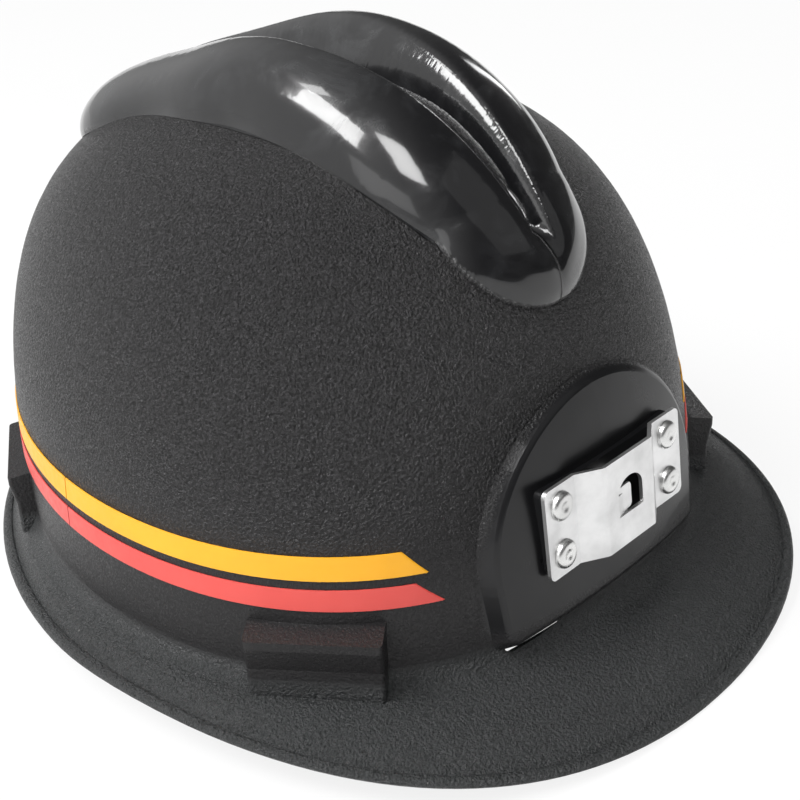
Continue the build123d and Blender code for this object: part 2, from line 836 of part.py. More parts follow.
def crown_strap(label, front_name, rear_name, lift):
    start = strap_end(socket_places[front_name])
    end = strap_end(socket_places[rear_name])
    run = end - start
    span = run.length / 2
    middle = (start + end) / 2
    along = run.normalized()
    plane = Plane(origin=(middle.X, middle.Y, 0), x_dir=along, z_dir=along.cross(Vector(0, 0, 1)))
    rise = strap_top_z - strap_rise_z + lift
    with BuildPart() as strap:
        with BuildSketch(plane):
            for inset, mode in ((0, Mode.ADD), (strap_thickness, Mode.SUBTRACT)):
                half, top = span - inset, rise - inset
                with BuildLine():
                    Line((-half, strap_foot_z), (-half, strap_rise_z))
                    for side in (-half, half):
                        Bezier(*[(x, z + strap_rise_z) for x, z, y in quarter(side, top, strap_shares)])
                    Line((half, strap_rise_z), (half, strap_foot_z))
                    Line((half, strap_foot_z), (-half, strap_foot_z))
                make_face(mode=mode)
        extrude(amount=strap_width / 2, both=True)
    strap.part.label = label
    return strap.part


straps = [
    crown_strap("crown_strap_lower", "front_left", "rear_right", 0),
    crown_strap("crown_strap_upper", "front_right", "rear_left", strap_thickness + strap_cross_gap),
]

# Ratchet: a pinion between two racks draws the headband's tails together
pitch_radius = gear_module * gear_teeth / 2
rack_pitch = pi * gear_module
tooth_half = (rack_pitch / 2 - gear_backlash) / 2
gear_slope = tan(radians(gear_angle))
base_radius = pitch_radius * cos(radians(gear_angle))
root_radius = pitch_radius - gear_dedendum
tip_radius = pitch_radius + gear_addendum


def flank_point(radius, side):
    """Point of a pinion tooth's involute flank; radial below the base circle"""
    turn = sqrt(max((radius / base_radius) ** 2 - 1, 0))
    pitch_turn = tan(radians(gear_angle))
    half = tooth_half / pitch_radius + (pitch_turn - atan(pitch_turn)) - (turn - atan(turn))
    return (radius * cos(half), side * radius * sin(half))


flank_radii = [root_radius / 2] + [
    base_radius + (tip_radius - base_radius) * i / gear_flank_steps for i in range(gear_flank_steps + 1)
]
tooth_outline = [flank_point(r, -1) for r in flank_radii] + [flank_point(r, 1) for r in reversed(flank_radii)]
rack_depth = pitch_radius + gear_dedendum + rack_back
gear_plane = Plane(origin=(0, nape_y, nape_z), x_dir=(1, 0, 0), z_dir=(0, -1, 0))
cavity_depth = gear_thickness + 2 * housing_gap
cover_back = gear_plane.offset(housing_gap)
with BuildPart() as ratchet_pinion:
    with BuildSketch(gear_plane):
        Circle(root_radius)
        with PolarLocations(0, gear_teeth, start_angle=90 + 180 / gear_teeth):
            Polygon(*tooth_outline, align=None)
    extrude(amount=-gear_thickness)
    with BuildSketch(gear_plane):
        Circle(stub_radius)
    extrude(amount=stub_length)
    with BuildSketch(gear_plane.offset(-gear_thickness)):
        Circle(hub_radius)
    extrude(amount=-(housing_gap + housing_wall + knob_gap + knob_recess))
ratchet_pinion.part.label = "ratchet_pinion"

rack_travel = rack_steps * rack_pitch
rack_inner = housing_half - housing_wall - rack_spare - rack_travel
rack_outer = housing_half + rack_travel + rack_spare


def rack(label, side, above):
    """Toothed tail; side is the wearer's left or right, above tells the upper one"""
    lift = 1 if above else -1
    with BuildPart() as tail:
        with BuildSketch(gear_plane):
            with Locations((side * (rack_outer - rack_inner) / 2, lift * (rack_depth - rack_back / 2))):
                Rectangle(rack_outer + rack_inner, rack_back)
            tip_half = tooth_half - gear_addendum * gear_slope
            foot_half = tooth_half + gear_dedendum * gear_slope
            for i in range(rack_teeth):
                step = i - 2 if above else i - 3 / 2
                with Locations((side * step * rack_pitch, lift * pitch_radius)):
                    Polygon(
                        (-tip_half, -lift * gear_addendum),
                        (tip_half, -lift * gear_addendum),
                        (foot_half, lift * gear_dedendum),
                        (foot_half, lift * (gear_dedendum + rack_back / 2)),
                        (-foot_half, lift * (gear_dedendum + rack_back / 2)),
                        (-foot_half, lift * gear_dedendum),
                        align=None,
                    )
        extrude(amount=-rack_thickness)
    tail.part.label = label
    return tail.part


rack_right = rack("rack_right", -1, True)
rack_left = rack("rack_left", 1, False)

housing_half_height = rack_depth + housing_gap + housing_wall


def housing_outline():
    """Outline shared by both halves of the ratchet's case"""
    Rectangle(2 * housing_half, 2 * housing_half_height)
    Circle(housing_eye)


with BuildPart() as ratchet_housing:
    with BuildSketch(cover_back):
        housing_outline()
    extrude(amount=-(cavity_depth + housing_wall))
    with BuildSketch(cover_back):
        Rectangle(2 * housing_half, 2 * (rack_depth + housing_gap))
    extrude(amount=-cavity_depth, mode=Mode.SUBTRACT)
    with BuildSketch(cover_back):
        Circle(hub_radius + hub_fit)
    extrude(amount=-(cavity_depth + housing_wall), mode=Mode.SUBTRACT)
ratchet_housing.part.label = "ratchet_housing"

with BuildPart() as ratchet_cover:
    with BuildSketch(cover_back):
        housing_outline()
    extrude(amount=housing_wall)
    with BuildSketch(cover_back):
        Circle(stub_radius + hub_fit)
    extrude(amount=housing_wall, mode=Mode.SUBTRACT)
ratchet_cover.part.label = "ratchet_cover"

knob_face = gear_plane.offset(-(gear_thickness + housing_gap + housing_wall + knob_gap))
with BuildPart() as ratchet_knob:
    with BuildSketch(knob_face):
        Circle(knob_radius)
        with PolarLocations(knob_radius, knob_grips):
            Circle(knob_grip_radius, mode=Mode.SUBTRACT)
    extrude(amount=-knob_depth)
    fillet(ratchet_knob.faces().sort_by(Axis.Y)[-1].edges(), knob_round)
    with BuildSketch(knob_face):
        Circle(knob_recess_radius - click_depth)
        with PolarLocations(knob_recess_radius - click_depth, click_teeth):
            Polygon((-click_depth, -click_depth), (click_depth, 0), (-click_depth, click_depth), align=None)
    extrude(amount=-knob_recess, mode=Mode.SUBTRACT)
ratchet_knob.part.label = "ratchet_knob"

pawl_face = gear_plane.offset(-(gear_thickness + housing_gap + housing_wall))
pawl_reach = knob_recess_radius - click_depth - pawl_clearance
with BuildPart() as pawl_spring:
    with BuildSketch(pawl_face):
        Circle(pawl_radius)
        with Locations((0, pawl_reach - pawl_bump)):
            Circle(pawl_bump)
        with Locations((0, (pawl_reach + pawl_radius) / 2 - pawl_bump)):
            Rectangle(pawl_bump, pawl_reach - pawl_radius + pawl_bump)
        Circle(pawl_radius - pawl_thickness, mode=Mode.SUBTRACT)
        with Locations((0, -pawl_radius)):
            Rectangle(pawl_opening, pawl_radius, mode=Mode.SUBTRACT)
    extrude(amount=-pawl_depth)
pawl_spring.part.label = "pawl_spring"

with BuildPart() as nape_pad:
    with BuildSketch(cover_back.offset(housing_wall + pad_gap)):
        RectangleRounded(nape_pad_width, nape_pad_height, nape_pad_corner)
    extrude(amount=nape_pad_thickness)
nape_pad.part.label = "nape_pad"


# Tails: the flexing quarters of the headband between its sides and the racks
def band_arm(label, side, above):
    lift = 1 if above else -1
    rack_middle = nape_z + lift * (rack_depth - rack_back / 2)
    centre = Vector(side * rack_outer, band_end_y)
    span = band_side - rack_outer
    depth = nape_y + rack_thickness - band_end_y
    with BuildPart() as arm:
        with BuildSketch(Plane.XY.offset(band_foot_z)):
            with BuildLine():
                outer = [(centre.X + x, centre.Y + y) for x, y, z in quarter(side * span, depth, arm_shares)]
                inner_size = (side * (span - band_thickness), depth - rack_thickness)
                inner = [(centre.X + x, centre.Y + y) for x, y, z in quarter(*inner_size, arm_shares)]
                Bezier(*outer)
                Line(outer[-1], inner[-1])
                Bezier(*reversed(inner))
                Line(inner[0], outer[0])
            make_face()
        extrude(amount=band_height)
        with BuildSketch(Plane.YZ):
            end = nape_y + rack_thickness
            with BuildLine():
                low, high = rack_middle - rack_back / 2, rack_middle + rack_back / 2
                Polyline(
                    (band_end_y, band_foot_z),
                    (band_end_y, band_top_z),
                    (end - span / 2, high),
                    (end + overrun, high),
                    (end + overrun, low),
                    (end - span / 2, low),
                    close=True,
                )
            make_face()
        extrude(amount=reach, both=True, mode=Mode.INTERSECT)
    arm.part.label = label
    return arm.part


band_arm_right = band_arm("band_arm_right", -1, True)
band_arm_left = band_arm("band_arm_left", 1, False)

pieces = [
    shell.part,
    lamp_bracket.part,
    bracket_rivets,
    stripe_yellow,
    stripe_red,
    cable_clip.part,
    clip_rivet,
    *keys,
    *straps,
    headband.part,
    brow_pad.part,
    band_arm_left,
    band_arm_right,
    rack_left,
    rack_right,
    ratchet_housing.part,
    ratchet_cover.part,
    ratchet_pinion.part,
    ratchet_knob.part,
    pawl_spring.part,
    nape_pad.part,
]
os.makedirs("parts", exist_ok=True)
for piece in pieces:
    export_step(piece, f"parts/{piece.label}.step")
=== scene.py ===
import math

import bmesh
import bpy
import numpy as np
from mathutils import Matrix, Vector
from mathutils.bvhtree import BVHTree


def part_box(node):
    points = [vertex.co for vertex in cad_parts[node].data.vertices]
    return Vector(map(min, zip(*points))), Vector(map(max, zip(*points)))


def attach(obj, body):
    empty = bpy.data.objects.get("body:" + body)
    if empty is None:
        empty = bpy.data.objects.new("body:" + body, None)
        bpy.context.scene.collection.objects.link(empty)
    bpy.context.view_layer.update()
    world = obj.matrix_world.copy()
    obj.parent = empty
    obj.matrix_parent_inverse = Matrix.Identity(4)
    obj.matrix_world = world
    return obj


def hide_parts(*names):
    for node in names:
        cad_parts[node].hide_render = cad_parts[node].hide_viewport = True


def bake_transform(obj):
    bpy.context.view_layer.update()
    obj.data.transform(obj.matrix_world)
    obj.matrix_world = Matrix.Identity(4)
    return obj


# Looks of a miner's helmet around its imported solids. Metres, in the row's frame.

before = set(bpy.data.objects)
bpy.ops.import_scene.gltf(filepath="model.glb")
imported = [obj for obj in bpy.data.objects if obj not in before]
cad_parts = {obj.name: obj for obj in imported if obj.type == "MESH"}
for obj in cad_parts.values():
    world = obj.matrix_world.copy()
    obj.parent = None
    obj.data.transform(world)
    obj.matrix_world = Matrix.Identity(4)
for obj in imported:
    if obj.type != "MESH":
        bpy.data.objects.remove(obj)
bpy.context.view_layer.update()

MM = 0.001

# Camera: azimuth, elevation, roll, distance and focal length in pixels of an 800-pixel frame
CAM_AZIMUTH = -45.87
CAM_ELEVATION = 28.15
CAM_ROLL = -2.76
CAM_DISTANCE = 503.2 * MM
CAM_FOCAL_PX = 1510.8
CAM_SHIFT_X = 9.98 * MM
CAM_SHIFT_Y = 43.94 * MM
DOME_AXIS_Y = -10.4 * MM
PHOTO_PX = 800
SENSOR = 36.0


def make_camera():
    """Camera at the photograph's viewing angle, solved from the helmet's outlines"""
    azimuth, elevation, roll = (math.radians(v) for v in (CAM_AZIMUTH, CAM_ELEVATION, CAM_ROLL))
    back = Vector(
        (
            math.sin(azimuth) * math.cos(elevation),
            -math.cos(azimuth) * math.cos(elevation),
            math.sin(elevation),
        )
    )
    right = Vector((0, 0, 1)).cross(back).normalized()
    up = back.cross(right)
    aim = CAM_SHIFT_X * right + CAM_SHIFT_Y * up + Vector((0, DOME_AXIS_Y, 0))
    rolled_right = math.cos(roll) * right + math.sin(roll) * up
    rolled_up = -math.sin(roll) * right + math.cos(roll) * up
    data = bpy.data.cameras.new("camera")
    data.sensor_width = SENSOR
    data.lens = CAM_FOCAL_PX * SENSOR / PHOTO_PX
    data.clip_start = 0.01
    data.clip_end = 100
    camera = bpy.data.objects.new("camera", data)
    bpy.context.scene.collection.objects.link(camera)
    turn = Matrix((rolled_right, rolled_up, back)).transposed().to_4x4()
    camera.matrix_world = Matrix.Translation(aim + CAM_DISTANCE * back) @ turn
    bpy.context.scene.camera = camera


make_camera()


# Node helpers


class Nodes:
    """Short names for building one material's node tree"""

    def __init__(self, name):
        self.material = bpy.data.materials.new(name)
        self.material.use_nodes = True
        self.tree = self.material.node_tree
        self.shader = self.tree.nodes["Principled BSDF"]
        self.place = self.add("ShaderNodeTexCoord").outputs["Object"]

    def add(self, kind, **settings):
        node = self.tree.nodes.new(kind)
        for key, value in settings.items():
            setattr(node, key, value)
        return node

    def put(self, socket, value):
        """Links an output to a socket, or sets the socket's own value"""
        if isinstance(value, bpy.types.NodeSocket):
            self.tree.links.new(value, socket)
        else:
            socket.default_value = value

    def math(self, operation, a, b=0.0):
        node = self.add("ShaderNodeMath", operation=operation)
        for socket, value in zip(node.inputs, (a, b)):
            self.put(socket, value)
        return node.outputs[0]

    def split(self, vector):
        node = self.add("ShaderNodeSeparateXYZ")
        self.put(node.inputs[0], vector)
        return node.outputs

    def noise(self, scale, detail=2.0, rough=0.5, vector=None, distortion=0.0):
        node = self.add("ShaderNodeTexNoise")
        self.put(node.inputs["Vector"], self.place if vector is None else vector)
        self.put(node.inputs["Scale"], scale)
        self.put(node.inputs["Detail"], detail)
        self.put(node.inputs["Roughness"], rough)
        self.put(node.inputs["Distortion"], distortion)
        return node.outputs["Fac"]

    def cells(self, scale, smooth):
        """Distance to the nearest of scattered points, rounded where their cells meet"""
        node = self.add("ShaderNodeTexVoronoi", feature="SMOOTH_F1")
        self.put(node.inputs["Vector"], self.place)
        self.put(node.inputs["Scale"], scale)
        self.put(node.inputs["Smoothness"], smooth)
        return node.outputs["Distance"]

    def ramp(self, value, low, high, out_low=0.0, out_high=1.0, smooth=False):
        node = self.add("ShaderNodeMapRange", clamp=True)
        node.interpolation_type = "SMOOTHSTEP" if smooth else "LINEAR"
        for socket, v in zip(node.inputs, (value, low, high, out_low, out_high)):
            self.put(socket, v)
        return node.outputs[0]

    def mix(self, share, a, b):
        node = self.add("ShaderNodeMix", data_type="RGBA")
        self.put(node.inputs[0], share)
        self.put(node.inputs[6], a)
        self.put(node.inputs[7], b)
        return node.outputs[2]

    def blend(self, share, a, b):
        """Number between a and b"""
        node = self.add("ShaderNodeMix", data_type="FLOAT")
        for socket, value in zip(node.inputs[:1] + node.inputs[2:4], (share, a, b)):
            self.put(socket, value)
        return node.outputs[0]

    def bump(self, height, distance, strength=1.0):
        node = self.add("ShaderNodeBump")
        self.put(node.inputs["Height"], height)
        self.put(node.inputs["Distance"], distance)
        self.put(node.inputs["Strength"], strength)
        return node.outputs["Normal"]

    def curve(self, value, points, low, high):
        """Smooth function through points, as a Float Curve over a range of its input"""
        node = self.add("ShaderNodeFloatCurve")
        lows = min(p[1] for p in points)
        highs = max(p[1] for p in points)
        curve = node.mapping.curves[0]
        scaled = [((x - low) / (high - low), (y - lows) / (highs - lows)) for x, y in points]
        curve.points[0].location = scaled[0]
        curve.points[1].location = scaled[-1]
        for x, y in scaled[1:-1]:
            curve.points.new(x, y)
        node.mapping.update()
        self.put(node.inputs["Value"], self.ramp(value, low, high))
        return self.ramp(node.outputs[0], 0, 1, lows, highs)

    def set(self, **values):
        for key, value in values.items():
            self.put(self.shader.inputs[key.replace("_", " ")], value)


# Places on the shell in millimetres: half widths of the crest and of its valley by their place
# from front to back, the brow panel's arch, and the oval of the crest's blunt nose. A mask's edge
# runs out over a short distance, or over a share of an oval's size.
CREST_OUTLINE = [
    (-92.0, 5.0),
    (-89.0, 9.5),
    (-86.0, 13.2),
    (-82.0, 17.0),
    (-76.0, 21.8),
    (-68.0, 26.6),
    (-60.0, 30.3),
    (-44.0, 34.4),
    (-20.0, 36.1),
    (12.0, 36.9),
    (44.0, 35.4),
    (64.0, 36.1),
    (76.0, 33.9),
    (86.0, 27.6),
    (94.0, 15.0),
    (100.0, 0.0),
]
VALLEY_FLOOR = [
    (-92.0, 0.0),
    (-72.0, 0.0),
    (-66.0, 2.2),
    (-56.0, 3.4),
    (-30.0, 5.3),
    (8.0, 6.6),
    (40.0, 5.3),
    (72.0, 3.3),
    (94.0, 0.8),
]
CREST_SPAN = (-92.0, 100.0)
LOBE_EDGE = (-0.3, 0.1)
FLOOR_EDGE = (-0.2, 0.5)
OVAL_EDGE_SHARES = (1.02, 0.97)
PANEL_HALF = 47.4
PANEL_ARCH_Z = 42.0
PANEL_TOP = 87.0
PANEL_FOOT_Z = 31.0
PANEL_BACK_Y = -88.0
PANEL_FADE = 6.0
NOSE_TIP = (0, -84.0, 108.6)
NOSE_RISE = (0, 0.60, 0.80)
NOSE_OUT = (0, -0.80, 0.60)
NOSE_WIDTH = 30.0
NOSE_LOW = -9.0
NOSE_HIGH = 40.0
NOSE_STEP = 0.5
NOSE_CENTRE = 25.0
NOSE_LENGTH = 28.5
NOSE_HALF = 27.0
NOSE_HEIGHT = 7.2
NOSE_SOFT = 3.0
NOSE_BARE = 1.16
NOSE_VALLEY_HALF = (1.5, 7)
NOSE_VALLEY_RISE = (7, 19)
NOSE_TOP_FADE = (24, 36)
NOSE_ROUND = 2.4
NOSE_RISING = (0, 2)
NOSE_RAISED = (0.03, 0.3)
NOSE_EVENED = 24
NOSE_FILLED = 110


def along_crest(n, y, points):
    """Half width at each place along the crest, in metres"""
    low, high = (v * MM for v in CREST_SPAN)
    return n.curve(y, [(a * MM, b * MM) for a, b in points], low, high)


def nose_mask(n, across, rise):
    """1 inside the oval of the crest's blunt front end"""
    back = n.math("DIVIDE", n.math("SUBTRACT", rise, NOSE_CENTRE * MM), NOSE_LENGTH * MM)
    back = n.math("MINIMUM", back, 0.0)
    side = n.math("DIVIDE", across, NOSE_HALF * MM)
    square = n.math("ADD", n.math("MULTIPLY", side, side), n.math("MULTIPLY", back, back))
    return n.ramp(square, *OVAL_EDGE_SHARES)


def crest_mask(n, across, y, z):
    """1 on the polished lobes, 0 on the dome and the valley's floor"""
    inside = n.math("SUBTRACT", along_crest(n, y, CREST_OUTLINE), across)
    inside = n.ramp(inside, *(v * MM for v in LOBE_EDGE))
    back = n.math("MULTIPLY", n.math("SUBTRACT", y, NOSE_TIP[1] * MM), NOSE_RISE[1])
    up = n.math("MULTIPLY", n.math("SUBTRACT", z, NOSE_TIP[2] * MM), NOSE_RISE[2])
    rise = n.math("ADD", back, up)
    nose = nose_mask(n, across, rise)
    inside = n.blend(n.ramp(rise, (NOSE_CENTRE - 1) * MM, (NOSE_CENTRE + 1) * MM), nose, inside)
    floor = n.math("SUBTRACT", across, along_crest(n, y, VALLEY_FLOOR))
    floor = n.ramp(floor, *(v * MM for v in FLOOR_EDGE))
    return n.math("MULTIPLY", inside, floor)


def panel_mask(n, x, y, z):
    """1 on the brow panel, an arch in front view that fades out at its foot"""
    side = n.math("DIVIDE", x, PANEL_HALF * MM)
    rise = n.math("MAXIMUM", n.math("SUBTRACT", z, PANEL_ARCH_Z * MM), 0.0)
    rise = n.math("DIVIDE", rise, (PANEL_TOP - PANEL_ARCH_Z) * MM)
    radius = n.math("SQRT", n.math("ADD", n.math("MULTIPLY", side, side), n.math("MULTIPLY", rise, rise)))
    arch = n.ramp(radius, *OVAL_EDGE_SHARES, smooth=True)
    panel = n.math("MULTIPLY", arch, n.ramp(y, (PANEL_BACK_Y + 2) * MM, PANEL_BACK_Y * MM))
    foot = n.ramp(z, (PANEL_FOOT_Z - PANEL_FADE) * MM, PANEL_FOOT_Z * MM, smooth=True)
    return n.math("MULTIPLY", panel, foot)


# Grain of the materials: cells and noise per metre, depths and heights in metres, coat's shares
PEBBLE_SCALE = 1250
GRAIN_SCALE = 1000
SAND_SCALE = 1450
DUST_SCALE = 850
GRAIN_DEPTH = 0.00120
WAVE_DEPTH = 0.0007
PLASTIC_GRAIN = 1400
PLASTIC_DEPTH = 0.00005
BRUSH_DEPTH = 0.00003
TAPE_DEPTH = 0.00006
BRIM_MASK_TOP_Z = 0.026
BRIM_MASK_FULL_Z = 0.019
GRAIN_FADE_LOW_Z = 0.040
GRAIN_FADE_HIGH_Z = 0.085
CREST_COAT = 0.75
PANEL_COAT = 0.12

# Linear colours of the shell: grained, brim and polished, each from dark to light by patches. The brim's
# slightly green-grey tint is lightened as painted sheen, for light reflected off it
GRAINED_TONES = ((0.0085, 0.0082, 0.0090, 1), (0.0140, 0.0131, 0.0134, 1))
BRIM_TINT_AND_SHEEN_TONES = ((0.0290, 0.0310, 0.0315, 1), (0.0400, 0.0435, 0.0435, 1))
POLISHED_TONES = ((0.0045, 0.0045, 0.0052, 1), (0.0085, 0.0085, 0.0092, 1))
# Painted shade for the grain's pits and painted glints for its sparkle, both laid on the fine sand noise
PIT_SHADE_TONE = (0.0015, 0.0015, 0.0016, 1)
GRAIN_GLINT_TONE = (0.0340, 0.0330, 0.0350, 1)
DUST_TONE = (0.22, 0.22, 0.21, 1)
SMUDGE_TONE = (0.030, 0.031, 0.033, 1)


def shell_material():
    """Black thermoplastic: pebbled dome and brim, lacquered crest lobes, satin brow panel"""
    n = Nodes("shell_plastic")
    x, y, z = n.split(n.place)
    across = n.math("ABSOLUTE", x)
    crest = crest_mask(n, across, y, z)
    panel = panel_mask(n, x, y, z)
    smooth = n.math("MAXIMUM", crest, panel)
    brim = n.ramp(z, BRIM_MASK_TOP_Z, BRIM_MASK_FULL_Z, smooth=True)

    # The grain fades between the tapes and the root, and comes back on the brim
    band = n.ramp(z, GRAIN_FADE_LOW_Z, GRAIN_FADE_HIGH_Z, 0.15, 1.0, smooth=True)
    band = n.math("MAXIMUM", band, n.math("MULTIPLY", brim, 0.8))
    grain_share = n.math("MULTIPLY", n.math("SUBTRACT", 1.0, smooth), band)
    pebbles = n.cells(PEBBLE_SCALE, 0.25)
    fine = n.noise(GRAIN_SCALE, 3, 0.7)
    height = n.math("ADD", n.math("MULTIPLY", pebbles, 0.3), n.math("MULTIPLY", fine, 1.3))
    height = n.math("MULTIPLY", height, grain_share)
    normal = n.bump(height, GRAIN_DEPTH)
    waves = n.bump(n.noise(30, 2, 0.5), WAVE_DEPTH)

    # Colour: moulded patches, painted shade in dark spots of the grain and painted glints in its light spots,
    # a brim tone lightened by painted sheen, dust specks on the brim
    patches = n.noise(16, 3, 0.55)
    grained = n.mix(patches, *GRAINED_TONES)
    # Brim colour: its own slightly green-grey tint, lightened by painted sheen
    brim_tint_and_sheen = n.mix(patches, *BRIM_TINT_AND_SHEEN_TONES)
    polished = n.mix(patches, *POLISHED_TONES)
    colour = n.mix(brim, grained, brim_tint_and_sheen)
    sand = n.ramp(n.noise(SAND_SCALE, 2, 0.7), 0.40, 0.60)
    # Painted shade: the grain's low spots darkened as if shaded
    pit_shade = n.math("MULTIPLY", n.ramp(sand, 0.0, 0.5, 0.8, 0.0), grain_share)
    colour = n.mix(pit_shade, colour, PIT_SHADE_TONE)
    # Painted glints: the grain's high spots lightened as if catching light
    grain_glint = n.math("MULTIPLY", n.ramp(sand, 0.5, 1.0, 0.0, 0.9), grain_share)
    colour = n.mix(grain_glint, colour, GRAIN_GLINT_TONE)
    colour = n.mix(smooth, colour, polished)
    specks = n.ramp(n.noise(DUST_SCALE, 1, 0.5), 0.74, 0.80)
    specks = n.math("MULTIPLY", specks, n.ramp(n.noise(26, 2, 0.5), 0.45, 0.70))
    specks = n.math("MULTIPLY", specks, n.math("MULTIPLY", brim, 0.7))
    colour = n.mix(specks, colour, DUST_TONE)
    smudge = n.ramp(n.noise(55, 5, 0.65, distortion=0.6), 0.50, 0.72)
    colour = n.mix(n.math("MULTIPLY", smudge, n.math("MULTIPLY", crest, 0.5)), colour, SMUDGE_TONE)

    rough_grain = n.ramp(sand, 0.0, 1.0, 0.50, 0.27)
    rough_shine = n.ramp(smudge, 0.0, 1.0, 0.16, 0.38)
    rough_panel = n.ramp(n.noise(60, 3, 0.6), 0.3, 0.7, 0.26, 0.34)
    shine = n.blend(panel, rough_shine, rough_panel)
    coat = n.math("ADD", n.math("MULTIPLY", crest, CREST_COAT), n.math("MULTIPLY", panel, PANEL_COAT))
    n.set(
        Base_Color=colour,
        Roughness=n.blend(smooth, rough_grain, shine),
        Normal=normal,
        IOR=1.5,
        Specular_IOR_Level=0.36,
        Coat_Weight=coat,
        Coat_Roughness=0.07,
        Coat_Normal=waves,
    )
    return n.material


def metal_material(name, tone, rough_low, rough_high, brush):
    """Bare sheet with a fine rolled grain, small scratches and dull patches"""
    n = Nodes(name)
    stretch = n.add("ShaderNodeMapping")
    n.put(stretch.inputs["Vector"], n.place)
    stretch.inputs["Scale"].default_value = brush
    lines = n.noise(900, 3, 0.7, vector=stretch.outputs[0])
    patches = n.noise(90, 4, 0.6)
    uneven = n.math("ADD", n.math("MULTIPLY", lines, 0.5), n.math("MULTIPLY", patches, 0.5))
    dark = tuple(c * 0.82 for c in tone) + (1,)
    colour = n.mix(n.ramp(patches, 0.35, 0.7), tone + (1,), dark)
    n.set(
        Base_Color=colour,
        Metallic=1.0,
        Roughness=n.ramp(uneven, 0.35, 0.65, rough_low, rough_high),
        Normal=n.bump(lines, BRUSH_DEPTH, 0.6),
    )
    return n.material


def tape_material(name, tone, dark):
    """Coloured adhesive tape: semi-gloss film with faint prints of the grain under it"""
    n = Nodes(name)
    patches = n.noise(70, 3, 0.5)
    n.set(
        Base_Color=n.mix(n.ramp(patches, 0.3, 0.75), tone + (1,), dark + (1,)),
        Roughness=n.ramp(n.noise(400, 3, 0.6), 0.3, 0.7, 0.34, 0.5),
        Normal=n.bump(n.noise(700, 3, 0.5), TAPE_DEPTH, 0.5),
    )
    return n.material


def plastic_material(name, low, high, rough):
    """Moulded plastic with a fine matte grain"""
    n = Nodes(name)
    patches = n.noise(60, 3, 0.5)
    n.set(
        Base_Color=n.mix(patches, low + (1,), high + (1,)),
        Roughness=n.ramp(patches, 0.3, 0.7, rough - 0.05, rough + 0.05),
        Normal=n.bump(n.noise(PLASTIC_GRAIN, 3, 0.6), PLASTIC_DEPTH, 0.6),
    )
    return n.material


def dress(node, material):
    """Gives a CAD node its finish through its own material slots"""
    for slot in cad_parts[node].material_slots:
        slot.material = material


NODE_FINISH = {
    "shell": shell_material(),
    "lamp_bracket": metal_material("bracket_steel", (0.86, 0.86, 0.86), 0.30, 0.45, (1, 6, 6)),
    "bracket_rivets": metal_material("rivet_aluminium", (0.84, 0.84, 0.83), 0.22, 0.36, (3, 3, 3)),
    "stripe_yellow": tape_material("tape_yellow", (0.79, 0.37, 0.010), (0.74, 0.34, 0.009)),
    "stripe_red": tape_material("tape_red", (0.64, 0.072, 0.060), (0.60, 0.062, 0.052)),
    "cable_clip": metal_material("clip_steel", (0.74, 0.74, 0.74), 0.30, 0.45, (6, 6, 1)),
    "ratchet_pinion": plastic_material("gear_plastic", (0.62, 0.61, 0.56), (0.70, 0.69, 0.64), 0.42),
    "ratchet_knob": plastic_material("knob_plastic", (0.02, 0.02, 0.022), (0.03, 0.03, 0.032), 0.50),
}
NODE_FINISH["clip_rivet"] = NODE_FINISH["bracket_rivets"]
NODE_FINISH["pawl_spring"] = NODE_FINISH["ratchet_pinion"]
dark_plastic = plastic_material("band_plastic", (0.018, 0.018, 0.020), (0.028, 0.028, 0.030), 0.48)
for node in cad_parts:
    dress(node, NODE_FINISH.get(node, dark_plastic))

# Nose moulded over the shell, whose own valley runs out at the crest's tip
SKIN_DEPTH = 0.6
SKIN_LEAST = 0.008
RAY_START = 80.0
shell_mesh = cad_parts["shell"].data
shell_tree = BVHTree.FromPolygons(
    [v.co for v in shell_mesh.vertices], [tuple(p.vertices) for p in shell_mesh.polygons]
)


